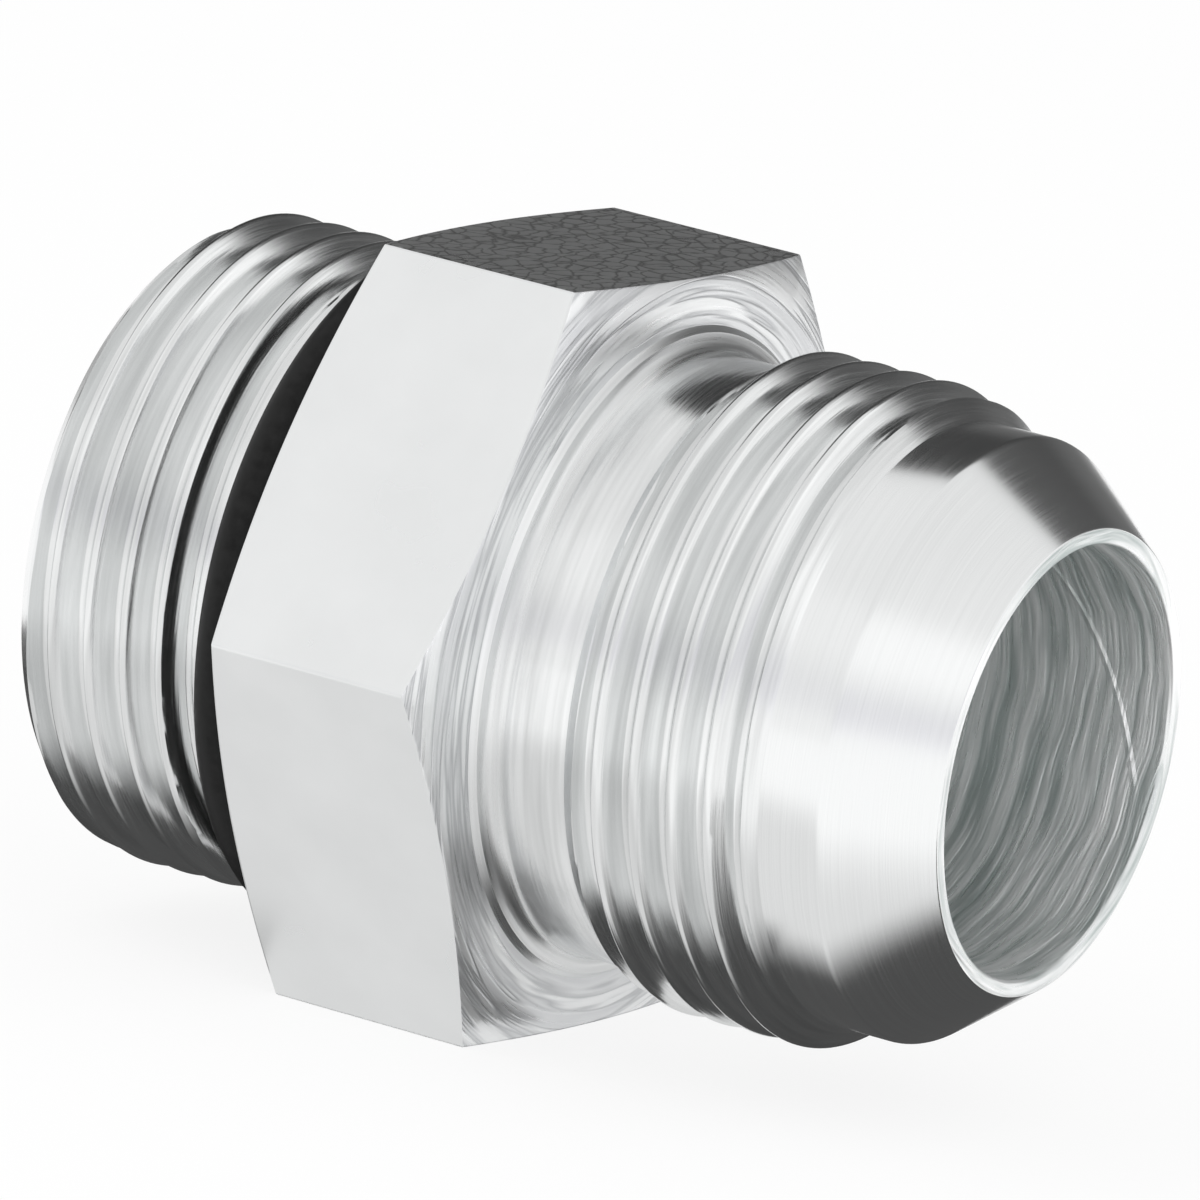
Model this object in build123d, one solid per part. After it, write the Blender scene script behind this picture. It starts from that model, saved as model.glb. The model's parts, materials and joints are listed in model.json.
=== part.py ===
from build123d import *
import os
from math import cos, radians, tan

# Straight hydraulic adapter: an O-ring boss stud, a wrench hexagon and a 37 degree flare end,
# turned in one piece from hexagonal bar, with the stud's rubber O-ring in its relief.
# The bore runs along X. X = 0 is the hexagon's shoulder on the port side, and +X points to the
# flare end. The hexagon's flats face up and down, so the adapter lies on one of them.

# ---------------------------------------------------------------- driving dimensions (mm, deg)
# Hexagon
hex_across_flats = 38.1
hex_length = 12.7
hex_face_diameter = 37.6
hex_chamfer_angle = 15.0

# Both ends carry the same 1 5/16 - 12 thread, drawn as a plain cylinder at its major diameter
thread_major_diameter = 33.34
thread_pitch = 25.4 / 12
thread_depth_per_pitch = 0.6134
thread_edge_break = 0.3

# Port end
stud_length = 14.2
relief_width = 3.3
relief_diameter = 29.6

# Flare end, measured from the hexagon's front face
flare_end_length = 23.6
neck_length = 4.7
neck_diameter = 30.6
neck_root_chamfer = 1.2
neck_runout_angle = 40.0
pilot_length = 3.3
pilot_diameter = 30.5
flare_half_angle = 37.0
nose_outer_diameter = 23.5

# Bore
bore_diameter = 21.8
bore_edge_break = 0.25

# O-ring
o_ring_section = 2.95
o_ring_section_sides = 24
o_ring_clearance = 0.1

# ---------------------------------------------------------------- sizes that follow from them
thread_radius = thread_major_diameter / 2
thread_depth = thread_depth_per_pitch * thread_pitch
hex_corner_radius = hex_across_flats / 2 / cos(radians(30))
hex_face_radius = hex_face_diameter / 2
relief_radius = relief_diameter / 2
neck_radius = neck_diameter / 2
pilot_radius = pilot_diameter / 2
bore_radius = bore_diameter / 2
nose_radius = nose_outer_diameter / 2

port_end_x = -stud_length
hex_front_x = hex_length
neck_end_x = hex_front_x + neck_length
nose_x = hex_front_x + flare_end_length
cone_length = (pilot_radius - nose_radius) / tan(radians(flare_half_angle))
cone_base_x = nose_x - cone_length
pilot_start_x = cone_base_x - pilot_length


def port_end_outline():
    """Outer outline from the stud's mouth to the hexagon's shoulder."""
    mouth_radius = thread_radius - thread_depth
    return [
        (port_end_x, mouth_radius),
        (port_end_x + thread_depth, thread_radius),
        (-relief_width - thread_edge_break, thread_radius),
        (-relief_width, thread_radius - thread_edge_break),
        (-relief_width, relief_radius),
        (0, relief_radius),
    ]


def hexagon_outline():
    """Chamfered ends of the hexagon. The round part between them is outside the bar's corners."""
    envelope_radius = hex_corner_radius + 1
    chamfer_run = (envelope_radius - hex_face_radius) * tan(radians(hex_chamfer_angle))
    return [
        (0, hex_face_radius),
        (chamfer_run, envelope_radius),
        (hex_front_x - chamfer_run, envelope_radius),
        (hex_front_x, hex_face_radius),
    ]


def flare_end_outline():
    """Outer outline from the hexagon's front face to the nose."""
    runout_length = (thread_radius - neck_radius) / tan(radians(neck_runout_angle))
    lead_length = thread_radius - pilot_radius
    return [
        (hex_front_x, neck_radius + neck_root_chamfer),
        (hex_front_x + neck_root_chamfer, neck_radius),
        (neck_end_x, neck_radius),
        (neck_end_x + runout_length, thread_radius),
        (pilot_start_x - lead_length, thread_radius),
        (pilot_start_x, pilot_radius),
        (cone_base_x, pilot_radius),
        (nose_x, nose_radius),
    ]


def bore_outline():
    """Inner outline from the nose back to the port end, with both mouths broken."""
    return [
        (nose_x, bore_radius + bore_edge_break),
        (nose_x - bore_edge_break, bore_radius),
        (port_end_x + bore_edge_break, bore_radius),
        (port_end_x, bore_radius + bore_edge_break),
    ]


def turned_envelope():
    """Everything the lathe leaves, before the bar's six flats are counted."""
    outline = port_end_outline() + hexagon_outline() + flare_end_outline() + bore_outline()
    return revolve(make_face(Polyline(*outline, close=True)), axis=Axis.X)


def hexagonal_bar():
    """The stock, with a flat facing up and one facing down."""
    section = Plane.YZ * RegularPolygon(hex_across_flats / 2, 6, major_radius=False)
    return Pos(port_end_x - 1, 0, 0) * extrude(section, amount=nose_x - port_end_x + 2)


def fitting_body():
    """The adapter's one steel piece."""
    return turned_envelope() & hexagonal_bar()


def o_ring():
    """The O-ring lies on the relief's floor, against the hexagon's shoulder.

    Its round section is drawn with many short sides, which keeps the ring's mesh light.
    """
    section_radius = o_ring_section / 2
    centre_x = -o_ring_clearance - section_radius
    centre_radius = relief_radius + o_ring_clearance + section_radius
    section = Pos(centre_x, centre_radius, 0) * RegularPolygon(section_radius, o_ring_section_sides)
    return revolve(section, axis=Axis.X)


os.makedirs("parts", exist_ok=True)
export_step(fitting_body(), "parts/fitting_body.step")
export_step(o_ring(), "parts/o_ring.step")
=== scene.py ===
"""Looks of a straight hydraulic adapter: a plated steel body turned from bar, and its O-ring.

The adapter is turned about X. Each turned outline is a list of (x, radius) corners, spun round
that axis. The two threads are real helices. The hexagon is cut from the turned blank by six planes.
"""

import json
from math import ceil, cos, hypot, pi, radians, sin, tan

import bmesh
import bpy
from mathutils import Matrix, Vector


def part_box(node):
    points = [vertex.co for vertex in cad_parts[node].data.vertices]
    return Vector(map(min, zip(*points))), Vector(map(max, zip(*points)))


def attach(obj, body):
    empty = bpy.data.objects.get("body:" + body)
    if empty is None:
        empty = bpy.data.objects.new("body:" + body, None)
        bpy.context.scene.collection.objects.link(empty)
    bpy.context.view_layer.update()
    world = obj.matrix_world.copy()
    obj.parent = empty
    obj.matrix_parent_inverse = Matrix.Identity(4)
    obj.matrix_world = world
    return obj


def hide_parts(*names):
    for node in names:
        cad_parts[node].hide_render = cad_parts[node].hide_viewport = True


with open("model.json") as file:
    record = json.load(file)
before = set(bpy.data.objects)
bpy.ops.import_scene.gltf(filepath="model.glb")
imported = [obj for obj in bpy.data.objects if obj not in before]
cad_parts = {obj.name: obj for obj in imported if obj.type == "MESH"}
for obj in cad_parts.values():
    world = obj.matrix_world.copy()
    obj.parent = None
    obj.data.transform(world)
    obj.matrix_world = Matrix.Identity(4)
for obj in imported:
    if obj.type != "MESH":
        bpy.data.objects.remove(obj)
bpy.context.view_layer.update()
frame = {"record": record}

# ---------------------------------------------------------------- sizes from the frame (metres)
MM = 0.001
mounts = {mount["name"]: mount for mount in frame["record"]["mounts"]}
body_low, body_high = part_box("fitting_body")
ring_low, ring_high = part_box("o_ring")

port_end_x = body_low.x
nose_x = body_high.x
hex_flat_radius = body_high.z
hex_corner_radius = hex_flat_radius / cos(radians(30))
bore_radius = mounts["flow_bore"]["dims"]["r_mm"] * MM
thread_radius = mounts["port_thread"]["dims"]["r_mm"] * MM
ring_section_radius = (ring_high.x - ring_low.x) / 2
ring_outer_radius = ring_high.z

# ---------------------------------------------------------------- the other sizes (metres)
# The hexagon, cut from a round blank that is wider than its corners
hex_length = 12.7 * MM
hex_face_radius = 18.8 * MM
hex_chamfer_slope = tan(radians(15))
hex_edge_round = 0.12 * MM
blank_radius = hex_corner_radius + 1 * MM

# The 1 5/16 - 12 thread of both ends, with a 60 degree form. Its free ends are broken at 45 degrees
thread_pitch = 25.4 * MM / 12
thread_depth = 0.6134 * thread_pitch
thread_flank_slope = tan(radians(30))
thread_end_slope = 1.0
thread_crest_width = thread_pitch / 8
thread_crest_round = 0.2 * MM
thread_root_round = 0.16 * MM
stud_crest_x = -12.8 * MM
stud_runout_radius = 15.75 * MM
stud_wall_radius = 15.3 * MM
stud_runout_slope = tan(radians(25))
flare_crest_x = 18.75 * MM
flare_runout_slope = tan(radians(40))

# The stud's relief, where the O-ring lies
relief_width = 3.3 * MM
relief_radius = 14.8 * MM
relief_root_round = 0.4 * MM

# The flare end
neck_radius = 15.3 * MM
neck_end_x = hex_length + 4.7 * MM
neck_root_step = 0.3 * MM
neck_root_round = 0.95 * MM
pilot_radius = 15.25 * MM
pilot_length = 3.3 * MM
nose_radius = 11.75 * MM
nose_edge_round = 0.12 * MM
flare_angle = radians(37)
flare_blend = 0.6 * MM
bore_edge_round = 0.22 * MM

# The scratch in the bore: it runs along a helix of this climb per radian, about a middle angle
scratch_x = nose_x - 2.45 * MM
scratch_climb = 4.76 * MM
scratch_width = 0.24 * MM
scratch_middle = radians(16)
scratch_reach = radians(33)

cone_base_x = nose_x - (pilot_radius - nose_radius) / tan(flare_angle)
pilot_start_x = cone_base_x - pilot_length
mouth_radius = thread_radius - thread_depth

# How finely round forms are divided
STEPS_AROUND = 192
ROUND_STEPS = 4
THREAD_ROUND_STEPS = 3
HEX_EDGE_STEPS = 2
RING_SECTION_STEPS = 32
TRIM_RINGS = 17
trim_ring_spacing = 0.12 * MM

# Corners closer than the first are one corner, and edges shorter than the second are none
same_place = 1e-6
no_length = 1e-7
crease_angle = radians(25)

# Face materials of the body, in the order of its material slots
TURNED, FACED, FLAT, CONE, BORE = range(5)


# ---------------------------------------------------------------- outlines
def rounded(before, corner, after, radius, steps=ROUND_STEPS):
    """The points of an arc that rounds a corner of an outline between its two neighbours."""
    corner = Vector(corner)
    toward_before = (Vector(before) - corner).normalized()
    toward_after = (Vector(after) - corner).normalized()
    half_angle = toward_before.angle(toward_after) / 2
    centre = corner + (toward_before + toward_after).normalized() * radius / sin(half_angle)
    start = (corner + toward_before * radius / tan(half_angle) - centre).normalized()
    end = (corner + toward_after * radius / tan(half_angle) - centre).normalized()
    return [tuple(centre + start.slerp(end, step / steps) * radius) for step in range(steps + 1)]


def stud_to_neck_outline():
    """From the stud thread's wall, through the relief and round the hexagon, to the neck's end."""
    chamfer_run = (blank_radius - hex_face_radius) * hex_chamfer_slope
    wall = (-relief_width, stud_wall_radius)
    relief_start = (-relief_width, relief_radius)
    relief_end = (0, relief_radius)
    back_face = (0, hex_face_radius)
    front_face = (hex_length, hex_face_radius)
    step_foot = (hex_length, neck_radius + neck_root_round + neck_root_step)
    step_top = (hex_length + neck_root_step, neck_radius + neck_root_round)
    neck_root = (hex_length + neck_root_step, neck_radius)
    neck_end = (neck_end_x, neck_radius)
    return (
        [wall]
        + rounded(wall, relief_start, relief_end, relief_root_round)
        + rounded(relief_start, relief_end, back_face, relief_root_round)
        + [back_face, (chamfer_run, blank_radius), (hex_length - chamfer_run, blank_radius)]
        + [front_face, step_foot, step_top]
        + rounded(step_top, neck_root, neck_end, neck_root_round)[1:]
        + [neck_end]
    )


def pilot_and_cone_outline():
    """From the flare thread's end to the flat ring of the nose."""
    pilot_start = (pilot_start_x, pilot_radius)
    cone_base = (cone_base_x, pilot_radius)
    nose_edge = (nose_x, nose_radius)
    nose_inside = (nose_x, bore_radius + bore_edge_round)
    return (
        [pilot_start]
        + rounded(pilot_start, cone_base, nose_edge, flare_blend)
        + rounded(cone_base, nose_edge, nose_inside, nose_edge_round)
    )


def bore_outline():
    """From the nose ring, through the bore, to the stud's mouth and its thread."""
    nose_edge = (nose_x, nose_radius)
    nose_corner = (nose_x, bore_radius)
    mouth_corner = (port_end_x, bore_radius)
    mouth_edge = (port_end_x, mouth_radius)
    return (
        [pilot_and_cone_outline()[-1]]
        + rounded(nose_edge, nose_corner, mouth_corner, bore_edge_round)
        + rounded(nose_corner, mouth_corner, mouth_edge, bore_edge_round)
        + [mouth_edge]
    )


def thread_outline(start_x):
    """One pitch of the thread's form, from the middle of a root to the middle of the next."""
    root_radius = thread_radius - thread_depth
    flank_run = thread_depth * thread_flank_slope
    root_half = (thread_pitch - thread_crest_width) / 2 - flank_run
    left = [
        (0, root_radius),
        (root_half, root_radius),
        (root_half + flank_run, thread_radius),
        (thread_pitch / 2, thread_radius),
    ]
    rising = (
        [left[0]]
        + rounded(left[0], left[1], left[2], thread_root_round, THREAD_ROUND_STEPS)
        + [tuple((Vector(left[1]) + Vector(left[2])) / 2)]
        + rounded(left[1], left[2], left[3], thread_crest_round, THREAD_ROUND_STEPS)
    )
    falling = [(thread_pitch - x, radius) for x, radius in reversed(rising)]
    return [(start_x + x, radius) for x, radius in rising + falling]


# ---------------------------------------------------------------- turned forms
def spun(outline, material, climb=0.0):
    """An outline spun once round X. With a climb it moves along X as it turns, as a screw does."""
    form = bmesh.new()
    corners = [form.verts.new((x, radius, 0)) for x, radius in outline]
    edges = [form.edges.new(pair) for pair in zip(corners, corners[1:])]
    bmesh.ops.spin(
        form,
        geom=corners + edges,
        cent=(0, 0, 0),
        axis=(1, 0, 0),
        dvec=(climb / STEPS_AROUND, 0, 0),
        angle=2 * pi,
        steps=STEPS_AROUND,
        use_merge=climb == 0,
    )
    for face in form.faces:
        face.material_index = material
    return form


def trim_end(form, end_x, outward, radius, slope):
    """Cuts a thread off square at end_x, and turns it down to a cone that opens from this radius.

    Rings of vertices are added first where the cone lies, so that its edge comes out clean. A
    corner within half a step of the helix is moved onto the ring, which leaves no thin slivers.
    """
    snap = 0.52 * thread_pitch / STEPS_AROUND
    for step in reversed(range(TRIM_RINGS)):
        bmesh.ops.bisect_plane(
            form,
            geom=form.verts[:] + form.edges[:] + form.faces[:],
            dist=snap,
            plane_co=(end_x - outward * step * trim_ring_spacing, 0, 0),
            plane_no=(outward, 0, 0),
            use_snap_center=True,
            clear_outer=step == 0,
        )
    for corner in form.verts:
        was = hypot(corner.co.y, corner.co.z)
        allowed = min(was, radius + slope * abs(end_x - corner.co.x))
        corner.co.y *= allowed / was
        corner.co.z *= allowed / was


def thread(crest_x, first_x, first_limit, last_x, last_limit):
    """A helical thread between two planes across the axis.

    Each limit is (radius, slope): the radius that the thread is turned down to at that end, and how
    fast the cone there opens up. A crest passes crest_x on the side toward +Y.
    """
    start_x = crest_x - thread_pitch / 2
    start_x -= ceil((start_x - first_x) / thread_pitch + 1) * thread_pitch
    form = spun(thread_outline(start_x), TURNED, thread_pitch)
    one_turn = form.verts[:] + form.edges[:] + form.faces[:]
    for turn in range(1, ceil((last_x - start_x) / thread_pitch) + 1):
        copied = bmesh.ops.duplicate(form, geom=one_turn)["geom"]
        corners = [part for part in copied if isinstance(part, bmesh.types.BMVert)]
        bmesh.ops.translate(form, verts=corners, vec=(turn * thread_pitch, 0, 0))
    bmesh.ops.remove_doubles(form, verts=form.verts, dist=same_place)
    trim_end(form, first_x, -1, *first_limit)
    trim_end(form, last_x, 1, *last_limit)
    return form


def add_wall(form, x, radius):
    """Closes the open end of a thread at x with a flat wall, down to a circle of this radius."""
    open_edges = [edge for edge in form.edges if edge.is_boundary]
    rim = [edge for edge in open_edges if min(end.co.x for end in edge.verts) > x - same_place]
    for part in bmesh.ops.extrude_edge_only(form, edges=rim)["geom"]:
        if isinstance(part, bmesh.types.BMVert):
            was = hypot(part.co.y, part.co.z)
            part.co.y *= radius / was
            part.co.z *= radius / was


def cut_hexagon(form):
    """Cuts the six flats off the round blank, and rounds the edges that this leaves."""
    for side in range(6):
        angle = radians(30 + 60 * side)
        outward = Vector((0, cos(angle), sin(angle)))
        everything = form.verts[:] + form.edges[:] + form.faces[:]
        cut = bmesh.ops.bisect_plane(
            form,
            geom=everything,
            dist=no_length,
            plane_co=outward * hex_flat_radius,
            plane_no=outward,
            clear_outer=True,
        )
        rim = [part for part in cut["geom_cut"] if isinstance(part, bmesh.types.BMEdge)]
        filled = bmesh.ops.edgeloop_fill(form, edges=rim, mat_nr=FLAT)
        for face in filled["faces"]:
            face.material_index = FLAT
    flats = [face for face in form.faces if face.material_index == FLAT]
    edges = {edge for face in flats for edge in face.edges}
    bmesh.ops.bevel(
        form,
        geom=list(edges),
        offset=hex_edge_round,
        offset_type="OFFSET",
        segments=HEX_EDGE_STEPS,
        profile=0.5,
        affect="EDGES",
        clamp_overlap=True,
        material=-1,
    )


def finish_piece(name, forms, materials):
    """Welds forms into one, shades it and makes it an object."""
    mesh = bpy.data.meshes.new(name)
    whole = bmesh.new()
    for form in forms:
        form.to_mesh(mesh)
        whole.from_mesh(mesh)
        form.free()
    bmesh.ops.remove_doubles(whole, verts=whole.verts, dist=same_place)
    bmesh.ops.dissolve_degenerate(whole, edges=whole.edges, dist=no_length)
    bmesh.ops.recalc_face_normals(whole, faces=whole.faces)
    for face in whole.faces:
        face.smooth = face.material_index != FLAT
    for edge in whole.edges:
        edge.smooth = edge.calc_face_angle(0) < crease_angle
    whole.to_mesh(mesh)
    whole.free()
    for material in materials:
        mesh.materials.append(material)
    piece = bpy.data.objects.new(name, mesh)
    bpy.context.scene.collection.objects.link(piece)
    return piece


def make_body():
    """The steel adapter: the blank with its hexagon, two threads, the nose and the bore."""
    blank = spun(stud_to_neck_outline(), TURNED)
    for face in blank.faces:
        middle = face.calc_center_median()
        from_axis = hypot(middle.y, middle.z)
        if 0 <= middle.x <= hex_length and from_axis > neck_radius + neck_root_round:
            face.material_index = FACED
    cut_hexagon(blank)
    stud_thread = thread(
        stud_crest_x,
        port_end_x,
        (mouth_radius, thread_end_slope),
        -relief_width,
        (stud_runout_radius, stud_runout_slope),
    )
    add_wall(stud_thread, -relief_width, stud_wall_radius)
    flare_thread = thread(
        flare_crest_x,
        neck_end_x,
        (neck_radius, flare_runout_slope),
        pilot_start_x,
        (pilot_radius, thread_end_slope),
    )
    nose = spun(pilot_and_cone_outline(), CONE)
    bore = spun(bore_outline(), BORE)
    materials = [turned_steel(), faced_steel(), hexagon_steel(), polished_steel(), drilled_steel()]
    return finish_piece("adapter_body", [blank, stud_thread, flare_thread, nose, bore], materials)


def make_o_ring():
    """The rubber ring, from its round section."""
    form = bmesh.new()
    section_centre = ((ring_low.x + ring_high.x) / 2, ring_outer_radius - ring_section_radius, 0)
    section = bmesh.ops.create_circle(
        form,
        segments=RING_SECTION_STEPS,
        radius=ring_section_radius,
        matrix=Matrix.Translation(section_centre),
    )
    edges = list({edge for corner in section["verts"] for edge in corner.link_edges})
    bmesh.ops.spin(
        form,
        geom=section["verts"] + edges,
        cent=(0, 0, 0),
        axis=(1, 0, 0),
        angle=2 * pi,
        steps=STEPS_AROUND,
        use_merge=True,
    )
    return finish_piece("seal_ring", [form], [black_rubber()])


# ---------------------------------------------------------------- shader nodes
def add_node(tree, kind, inputs=None, **settings):
    """Adds a shader node. An input given as a socket is linked, and any other is a plain value."""
    node = tree.nodes.new("ShaderNode" + kind)
    for name, value in settings.items():
        setattr(node, name, value)
    for key, value in (inputs or {}).items():
        if isinstance(value, bpy.types.NodeSocket):
            tree.links.new(value, node.inputs[key])
        else:
            node.inputs[key].default_value = value
    return node


def calculated(tree, operation, *values):
    """The result of one step of arithmetic on numbers."""
    return add_node(tree, "Math", dict(enumerate(values)), operation=operation).outputs["Value"]


def distance_from(tree, value, target):
    """How far a number is from a fixed one."""
    return calculated(tree, "ABSOLUTE", calculated(tree, "SUBTRACT", value, target))


def combined(tree, operation, first, second):
    """The vector that one step of arithmetic on two vectors gives."""
    inputs = {0: first, 1: second}
    return add_node(tree, "VectorMath", inputs, operation=operation).outputs["Vector"]


def scaled(tree, vector, factor):
    inputs = {0: vector, "Scale": factor}
    return add_node(tree, "VectorMath", inputs, operation="SCALE").outputs["Vector"]


def object_place(tree):
    """The place on the object, in metres."""
    return add_node(tree, "TexCoord").outputs["Object"]


def split(tree, vector):
    """The X, Y and Z of a vector."""
    return add_node(tree, "SeparateXYZ", {"Vector": vector}).outputs


def noise(tree, place, spots_per_mm, detail):
    """Soft spots, about this many to a millimetre."""
    inputs = {"Vector": place, "Scale": spots_per_mm / MM, "Detail": detail}
    return add_node(tree, "TexNoise", inputs).outputs


def spread(tree, value, low, high, from_low=0.3, from_high=0.7):
    """Maps a range of a value, by default that of noise, to another."""
    inputs = {
        "Value": value,
        "From Min": from_low,
        "From Max": from_high,
        "To Min": low,
        "To Max": high,
    }
    return add_node(tree, "MapRange", inputs).outputs["Result"]


def tinted(tree, value, dark, light, from_low=0.3, from_high=0.7):
    """A colour between a dark and a light one."""
    ramp = add_node(tree, "ValToRGB", {"Fac": value})
    for element, place, colour in zip(
        ramp.color_ramp.elements, (from_low, from_high), (dark, light)
    ):
        element.position = place
        element.color = (*colour, 1)
    return ramp.outputs["Color"]


def grey(level):
    return (level, level, level)


def graded(tree, value, stops):
    """A colour that passes smoothly through several (place, grey level or colour) stops."""
    ramp = add_node(tree, "ValToRGB", {"Fac": value})
    ramp.color_ramp.interpolation = "EASE"
    elements = ramp.color_ramp.elements
    for place, _ in stops[1:-1]:
        elements.new(place)
    for element, (place, colour) in zip(elements, stops):
        element.position = place
        element.color = (*(colour if isinstance(colour, tuple) else grey(colour)), 1)
    return ramp.outputs["Color"]


def blended(tree, share, first, second):
    """A mix of two colours, with this share of the second. The sockets' names repeat in a Mix
    node, so its colours go by number: 6 and 7 in, 2 out."""
    mix = add_node(tree, "Mix", {"Factor": share}, data_type="RGBA")
    for socket, colour in zip((mix.inputs[6], mix.inputs[7]), (first, second)):
        if isinstance(colour, bpy.types.NodeSocket):
            tree.links.new(colour, socket)
        else:
            socket.default_value = (*colour, 1)
    return mix.outputs[2]


def bumped(tree, height, depth, below=None):
    """A surface normal from a height. Depth is in millimetres."""
    inputs = {"Height": height, "Strength": 1.0, "Distance": depth * MM}
    if below is not None:
        inputs["Normal"] = below
    return add_node(tree, "Bump", inputs).outputs["Normal"]


def turning_marks(tree, lines_per_mm, unevenness, detail=2.0, wander=0.0):
    """Noise that runs in rings round X, as a lathe tool leaves it.

    It varies across the rings, with the place along X and the radius, and only slowly round the
    axis. Marks with a wander, a length, stray that far along X from true rings.
    """
    place = object_place(tree)
    parts = split(tree, place)
    flat = add_node(tree, "CombineXYZ", {"Y": parts["Y"], "Z": parts["Z"]}).outputs["Vector"]
    radius = add_node(tree, "VectorMath", {0: flat}, operation="LENGTH").outputs["Value"]
    around = add_node(tree, "VectorMath", {0: flat}, operation="NORMALIZE").outputs["Vector"]
    across = calculated(tree, "SUBTRACT", parts["X"], radius)
    if wander:
        stray = spread(tree, noise(tree, place, 0.13, 1.0)["Fac"], -wander, wander)
        across = calculated(tree, "ADD", across, stray)
    across = calculated(tree, "MULTIPLY", across, lines_per_mm / MM)
    shift = add_node(tree, "CombineXYZ", {"X": across}).outputs["Vector"]
    inputs = {
        "Vector": combined(tree, "ADD", scaled(tree, around, unevenness), shift),
        "Scale": 1.0,
        "Detail": detail,
        "Roughness": 0.6,
    }
    return add_node(tree, "TexNoise", inputs).outputs["Fac"]


# ---------------------------------------------------------------- materials
def new_material(name):
    """An empty material, its node tree and its main shader."""
    material = bpy.data.materials.new(name)
    material.use_nodes = True
    tree = material.node_tree
    tree.nodes.clear()
    shader = add_node(tree, "BsdfPrincipled")
    add_node(tree, "OutputMaterial", {"Surface": shader.outputs["BSDF"]})
    return material, tree, shader


def set_surface(tree, shader, metallic, colour, roughness, normal):
    """Gives a shader its look. All but the share of metal vary over the surface."""
    shader.inputs["Metallic"].default_value = metallic
    tree.links.new(colour, shader.inputs["Base Color"])
    tree.links.new(roughness, shader.inputs["Roughness"])
    tree.links.new(normal, shader.inputs["Normal"])


def turned_steel():
    """Threads and neck, as the tool left them under the plating. The neck's root is duller."""
    material, tree, shader = new_material("turned_steel")
    fine = turning_marks(tree, 9.0, 2.5, 3.0)
    broad = turning_marks(tree, 1.3, 1.2)
    from_root = distance_from(tree, split(tree, object_place(tree))["X"], hex_length)
    root_roughness = spread(tree, from_root, 0.15, 0.0, 0.6 * MM, 1.4 * MM)
    set_surface(
        tree,
        shader,
        metallic=1.0,
        colour=tinted(tree, broad, (0.70, 0.71, 0.71), (0.91, 0.92, 0.92)),
        roughness=calculated(tree, "ADD", spread(tree, fine, 0.10, 0.24), root_roughness),
        normal=bumped(tree, fine, 0.004, bumped(tree, broad, 0.012)),
    )
    return material


def faced_steel():
    """The hexagon's two ends: coarser rings with scored lines, and duller than the rest."""
    material, tree, shader = new_material("faced_steel")
    fine = turning_marks(tree, 6.0, 3.0, 3.0)
    broad = turning_marks(tree, 1.1, 1.3)
    unscored = spread(tree, distance_from(tree, broad, 0.5), 0.0, 1.0, 0.0, 0.07)
    rings = tinted(tree, broad, (0.74, 0.75, 0.76), (0.93, 0.94, 0.94), 0.35, 0.65)
    scored_colour = (0.58, 0.59, 0.60)
    set_surface(
        tree,
        shader,
        metallic=0.86,
        colour=blended(tree, unscored, scored_colour, rings),
        roughness=spread(tree, fine, 0.25, 0.45),
        normal=bumped(tree, fine, 0.008, bumped(tree, unscored, 0.02)),
    )
    return material


def crazing(tree, place):
    """Cracks between small uneven cells, which are longer across the hexagon than along it."""
    bend = scaled(tree, noise(tree, place, 0.5, 3.0)["Color"], 1.1 * MM)
    stretched = combined(tree, "MULTIPLY", combined(tree, "ADD", place, bend), (1.0, 0.6, 1.0))
    inputs = {"Vector": stretched, "Scale": 1.25 / MM}
    cells = add_node(tree, "TexVoronoi", inputs, feature="DISTANCE_TO_EDGE")
    return spread(tree, cells.outputs["Distance"], 1.0, 0.0, 0.0, 0.12)


def hexagon_steel():
    """The drawn flats of the bar: satin, with a fine grain, and crazed on the top flat."""
    material, tree, shader = new_material("hexagon_steel")
    place = object_place(tree)
    height = split(tree, place)["Z"]
    below_top = (hex_flat_radius - 0.03 * MM, hex_flat_radius - 0.005 * MM)
    on_top = spread(tree, height, 0.0, 1.0, *below_top)
    grain = noise(tree, place, 2.6, 4.0)["Fac"]
    cloud = noise(tree, place, 0.18, 3.0)["Fac"]
    cracks = calculated(tree, "MULTIPLY", crazing(tree, place), on_top)
    clean = tinted(tree, cloud, (0.84, 0.85, 0.85), (0.89, 0.90, 0.90))
    stained = blended(tree, cracks, clean, grey(0.34))
    mottled = spread(tree, calculated(tree, "MULTIPLY", cloud, on_top), 0.0, 0.4, 0.45, 0.75)
    set_surface(
        tree,
        shader,
        metallic=1.0,
        colour=blended(tree, mottled, stained, grey(0.45)),
        roughness=spread(tree, cloud, 0.26, 0.36),
        normal=bumped(tree, grain, 0.004, bumped(tree, cracks, -0.035)),
    )
    return material


def polished_steel():
    """The pilot and the cone, finished smooth so that a flared tube seals on them."""
    material, tree, shader = new_material("polished_steel")
    fine = turning_marks(tree, 14.0, 1.0)
    set_surface(
        tree,
        shader,
        metallic=1.0,
        colour=tinted(tree, fine, (0.86, 0.87, 0.87), (0.91, 0.92, 0.92)),
        roughness=spread(tree, fine, 0.15, 0.21),
        normal=bumped(tree, fine, 0.0006),
    )
    return material


def bore_scratch(tree):
    """One long scratch in the bore, along a helix."""
    parts = split(tree, object_place(tree))
    angle = calculated(tree, "ARCTAN2", parts["Z"], parts["Y"])
    along = calculated(tree, "MULTIPLY_ADD", angle, scratch_climb, parts["X"])
    near = spread(tree, distance_from(tree, along, scratch_x), 1.0, 0.0, 0.0, scratch_width)
    turned = distance_from(tree, angle, scratch_middle)
    within = spread(tree, turned, 1.0, 0.0, scratch_reach * 0.8, scratch_reach)
    return calculated(tree, "MULTIPLY", near, within)


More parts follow.
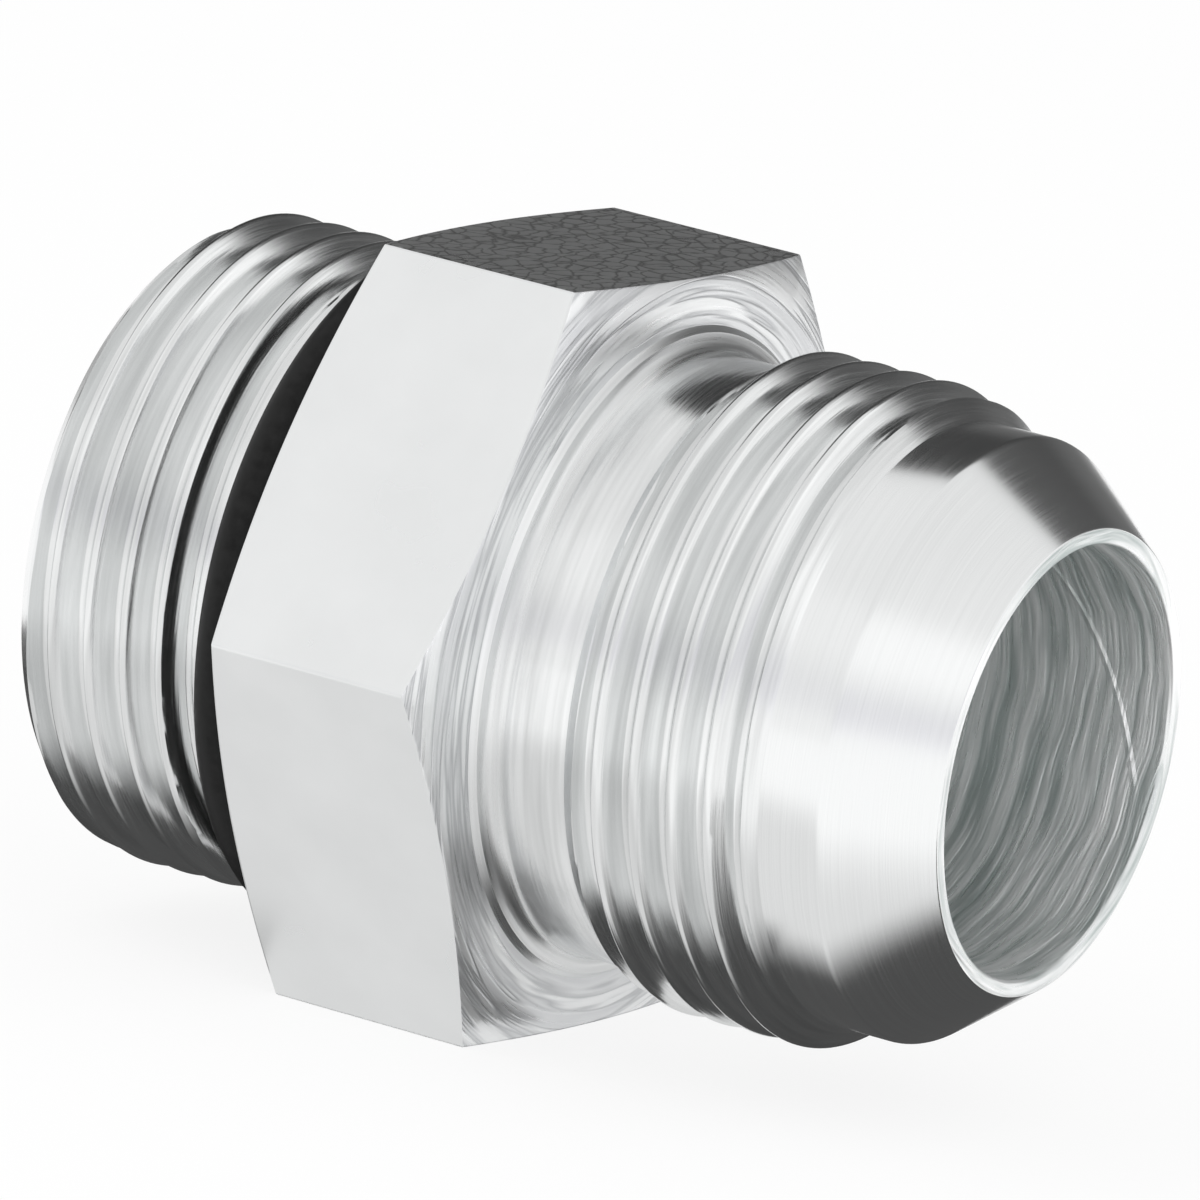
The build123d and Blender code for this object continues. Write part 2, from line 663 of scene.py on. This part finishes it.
def drilled_steel():
    """The bore, with the drill's long swirling marks and one scratch near its mouth."""
    material, tree, shader = new_material("drilled_steel")
    swirl = turning_marks(tree, 0.7, 0.8, wander=0.35 * MM)
    strands = turning_marks(tree, 2.0, 1.3, wander=0.35 * MM)
    fine = turning_marks(tree, 6.0, 2.5)
    stained = tinted(tree, swirl, (0.50, 0.55, 0.54), grey(1.0), 0.38, 0.6)
    streaked = tinted(tree, strands, (0.44, 0.49, 0.48), grey(1.0), 0.40, 0.56)
    scored = bumped(tree, bore_scratch(tree), 0.055, bumped(tree, strands, 0.11))
    set_surface(
        tree,
        shader,
        metallic=0.85,
        colour=blended(tree, 0.5, stained, streaked),
        roughness=spread(tree, fine, 0.24, 0.42),
        normal=bumped(tree, fine, 0.01, scored),
    )
    return material


def black_rubber():
    """The O-ring: black, slightly shiny, with a trace of dust."""
    material, tree, shader = new_material("black_rubber")
    grain = noise(tree, object_place(tree), 1.8, 3.0)["Fac"]
    shader.inputs["Specular IOR Level"].default_value = 0.15
    set_surface(
        tree,
        shader,
        metallic=0.0,
        colour=tinted(tree, grain, grey(0.006), grey(0.014)),
        roughness=spread(tree, grain, 0.38, 0.55),
        normal=bumped(tree, grain, 0.004),
    )
    return material


# ---------------------------------------------------------------- the camera
# It looks at this point from this side, nearly level with the adapter
aim = Vector((7.4, 3.9, 1.0)) * MM
camera_distance = 0.746
camera_azimuth = radians(-60.75)
camera_elevation = radians(11.73)
camera_roll = radians(8.49)
camera_lens = 450.0


def from_angles(azimuth, elevation):
    """A direction, from its angle round Z and its angle above the floor."""
    flat = cos(elevation)
    return Vector((cos(azimuth) * flat, sin(azimuth) * flat, sin(elevation)))


def make_camera():
    data = bpy.data.cameras.new("camera")
    data.lens = camera_lens
    data.sensor_width = 36.0
    data.clip_start = 0.05
    data.clip_end = 20.0
    camera = bpy.data.objects.new("camera", data)
    toward = from_angles(camera_azimuth, camera_elevation)
    level = (-toward).to_track_quat("-Z", "Y")
    camera.rotation_mode = "QUATERNION"
    camera.rotation_quaternion = level @ Matrix.Rotation(camera_roll, 3, "Z").to_quaternion()
    camera.location = aim + toward * camera_distance
    bpy.context.scene.collection.objects.link(camera)
    bpy.context.scene.camera = camera


# ---------------------------------------------------------------- the studio
# Levels of grey and colour that the metal mirrors, each at its place on a scale from 0 to 1.
# For the walls that is the height of the direction, for the flag its height and its width from
# edge to edge, for the floor, whose grey near the adapter is painted shade, the share of
# floor_reach, and for a dark card of painted shade under the adapter the depth of its soft edge
WALL_LEVELS = [
    (0.0, 1.0),
    (0.05, 1.0),
    (0.13, (0.80, 0.795, 0.825)),
    (0.2, (0.74, 0.735, 0.765)),
    (0.27, (0.75, 0.75, 0.77)),
    (0.37, 0.88),
    (0.46, 0.97),
    (0.61, 0.97),
    (0.74, 0.8),
    (1.0, 0.78),
]
FLAG_LEVELS = [(0.0, 0.3), (0.1, 0.125), (0.3, 0.045), (0.84, 0.045), (1.0, 0.9)]
FLAG_FADE = [(0.0, 1.0), (0.15, 0.0), (0.5, 0.0), (0.7, 0.04), (0.85, 0.05), (1.0, 1.0)]
# Painted shade: close to the adapter the floor in the metal is greyer, standing for its shadow on
# the floor.
FLOOR_SHADE_LEVELS = [(0.0, 0.73), (0.36, 0.75), (0.6, 1.0), (1.0, 1.0)]
# Painted shade: the levels of the dark cards that stand for the adapter's shadow under it.
SHADE_CARD_LEVELS = [(0.0, 0.8), (1.0, 0.075)]
floor_reach = 0.1

# Dark cards of painted shade on the floor under the adapter: only the metal shows them, in place of
# the adapter's shadow there. Name, first and last x, first and last y, and the depth of the soft
# edge toward the camera, in millimetres
SHADE_CARDS_UNDER = (
    ("stud_shade_card", -60, -0.5, -16.5, 25, 8.0),
    ("flare_shade_card", 13.5, 24, -16, -4, 5.0),
    ("nose_shade_card", 24, 80, -15, 14, 6.5),
)
floor_card_lift = 0.1 * MM
shade_card_lift = 0.2 * MM

# The dark flag behind the adapter
flag_azimuth = radians(108)
flag_distance = 0.6
flag_width = 1.9
flag_height = 1.15


def make_softbox(name, azimuth, elevation, distance, width, height, power):
    """A soft rectangular lamp that faces the adapter. The metal doesn't mirror it."""
    data = bpy.data.lights.new(name, "AREA")
    data.shape = "RECTANGLE"
    data.size = width
    data.size_y = height
    data.energy = power
    lamp = bpy.data.objects.new(name, data)
    toward = from_angles(radians(azimuth), radians(elevation))
    lamp.location = aim + toward * distance
    lamp.rotation_euler = (-toward).to_track_quat("-Z", "Y").to_euler()
    lamp.visible_glossy = False
    bpy.context.scene.collection.objects.link(lamp)


def make_sheet(name, width, height, placing, material):
    """A flat sheet of the studio, such as its floor."""
    form = bmesh.new()
    bmesh.ops.create_grid(form, x_segments=1, y_segments=1, size=0.5)
    bmesh.ops.scale(form, verts=form.verts, vec=(width, height, 1))
    bmesh.ops.transform(form, verts=form.verts, matrix=placing)
    sheet = finish_piece(name, [form], [material])
    return sheet


def make_mirrored_card(name, width, height, placing, material):
    """A sheet that only the metal shows. It neither lights nor shades anything else."""
    card = make_sheet(name, width, height, placing, material)
    card.visible_camera = False
    card.visible_diffuse = False
    card.visible_shadow = False


def floor_white():
    """A white floor that the camera sees as white, apart from a soft shadow of what lies on it."""
    material, tree, shader = new_material("floor_white")
    shader.inputs["Base Color"].default_value = (0.92, 0.92, 0.92, 1)
    shader.inputs["Roughness"].default_value = 0.9
    shader.inputs["Specular IOR Level"].default_value = 0.0
    glow = add_node(tree, "Emission", {"Color": (1, 1, 1, 1), "Strength": 1.0})
    share = calculated(tree, "MULTIPLY", add_node(tree, "LightPath").outputs["Is Camera Ray"], 0.86)
    surfaces = {0: share, 1: shader.outputs["BSDF"], 2: glow.outputs["Emission"]}
    mix = add_node(tree, "MixShader", surfaces)
    output = next(node for node in tree.nodes if node.type == "OUTPUT_MATERIAL")
    tree.links.new(mix.outputs["Shader"], output.inputs["Surface"])
    return material


def glowing(name, colour_of, strength=1.0):
    """A material that only gives off light, of the colour that a function works out in its tree."""
    material = bpy.data.materials.new(name)
    material.use_nodes = True
    tree = material.node_tree
    tree.nodes.clear()
    glow = add_node(tree, "Emission", {"Color": colour_of(tree), "Strength": strength})
    add_node(tree, "OutputMaterial", {"Surface": glow.outputs["Emission"]})
    return material


def flag_dark(tree):
    """A dark flag that fades to the studio's white at its top and sides."""
    parts = split(tree, add_node(tree, "TexCoord").outputs["Generated"])
    dark = graded(tree, parts["Z"], FLAG_LEVELS)
    return blended(tree, graded(tree, parts["X"], FLAG_FADE), dark, grey(0.9))


def painted_shade_card(near_y, fade):
    """A dark card of painted shade, standing for the adapter's shadow on the floor under it, whose
    edge toward the camera fades in over a distance.
    """

    def colour_of(tree):
        y = split(tree, object_place(tree))["Y"]
        depth = spread(tree, y, 0.0, 1.0, near_y * MM, (near_y + fade) * MM)
        return graded(tree, depth, SHADE_CARD_LEVELS)

    return colour_of


def floor_shade_in_metal(tree):
    """The floor as the metal shows it: bright far away, and greyer close to the adapter, as painted
    shade for the adapter's shadow on the floor.
    """
    ends = {0: object_place(tree), 1: (aim.x, 0, body_low.z)}
    away = add_node(tree, "VectorMath", ends, operation="DISTANCE").outputs["Value"]
    return graded(tree, spread(tree, away, 0.0, 1.0, 0.0, floor_reach), FLOOR_SHADE_LEVELS)


def make_world():
    """Plain white to the camera, soft light on everything, and graded walls in the metal."""
    world = bpy.data.worlds.new("studio")
    bpy.context.scene.world = world
    world.use_nodes = True
    tree = world.node_tree
    tree.nodes.clear()
    rays = add_node(tree, "LightPath").outputs
    toward = split(tree, add_node(tree, "TexCoord").outputs["Generated"])
    walls_slope = 0.08
    height = calculated(tree, "MULTIPLY_ADD", toward["X"], walls_slope, toward["Z"])
    paler = spread(tree, toward["X"], 0.6, 0.0, -0.5, 0.5)
    walls = blended(tree, paler, graded(tree, height, WALL_LEVELS), grey(0.92))
    brightness = spread(tree, toward["X"], 1.0, 1.1, 0.0, 0.7)
    in_metal = add_node(tree, "Background", {"Color": walls, "Strength": brightness})
    soft_light = add_node(tree, "Background", {"Color": (1, 1, 1, 1), "Strength": 0.92})
    white = add_node(tree, "Background", {"Color": (1, 1, 1, 1), "Strength": 1.0})

    def chosen(share, otherwise, then):
        return add_node(tree, "MixShader", {0: share, 1: otherwise, 2: then}).outputs["Shader"]

    lit = chosen(
        rays["Is Glossy Ray"], soft_light.outputs["Background"], in_metal.outputs["Background"]
    )
    seen = chosen(rays["Is Camera Ray"], lit, white.outputs["Background"])
    add_node(tree, "OutputWorld", {"Surface": seen})


def make_studio():
    """The floor, two lamps, and the cards and the flag that the metal mirrors. The cards on the
    floor are painted shade for the adapter's shadow there.
    """
    make_world()
    on_floor = Vector((0, 0, body_low.z))
    make_sheet("floor", 6, 6, Matrix.Translation(on_floor), floor_white())
    make_softbox(
        "key_softbox", azimuth=-128, elevation=40, distance=0.9, width=0.7, height=0.7, power=1.5
    )
    make_softbox(
        "end_softbox", azimuth=-20, elevation=6, distance=0.9, width=0.5, height=0.2, power=3.5
    )

    # Painted shade: a card that only the metal shows, greyer close to the adapter in place of its
    # shadow on the floor.
    bright = glowing("floor_shade_in_metal", floor_shade_in_metal, strength=1.06)
    place = Matrix.Translation(on_floor + Vector((0, 0, floor_card_lift)))
    make_mirrored_card("floor_card", 3, 3, place, bright)

    flag_middle = from_angles(flag_azimuth, 0) * flag_distance + Vector((0, 0, flag_height / 2))
    upright = Matrix.Rotation(flag_azimuth - pi / 2, 4, "Z") @ Matrix.Rotation(pi / 2, 4, "X")
    place = Matrix.Translation(on_floor + flag_middle) @ upright
    dark = glowing("flag_dark", flag_dark)
    make_mirrored_card("back_flag", flag_width, flag_height, place, dark)

    # Painted shade: dark cards under the adapter that only the metal shows, in place of its shadow
    # on the floor.
    for name, first_x, last_x, first_y, last_y, fade in SHADE_CARDS_UNDER:
        middle = Vector(((first_x + last_x) / 2, (first_y + last_y) / 2, 0)) * MM
        place = Matrix.Translation(on_floor + middle + Vector((0, 0, shade_card_lift)))
        dark = glowing(name, painted_shade_card(first_y, fade))
        make_mirrored_card(name, (last_x - first_x) * MM, (last_y - first_y) * MM, place, dark)


# ---------------------------------------------------------------- the adapter
body = make_body()
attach(body, "root")
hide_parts("fitting_body")

seal = make_o_ring()
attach(seal, "root")
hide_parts("o_ring")

make_studio()
make_camera()
bpy.context.scene.view_settings.view_transform = "Standard"
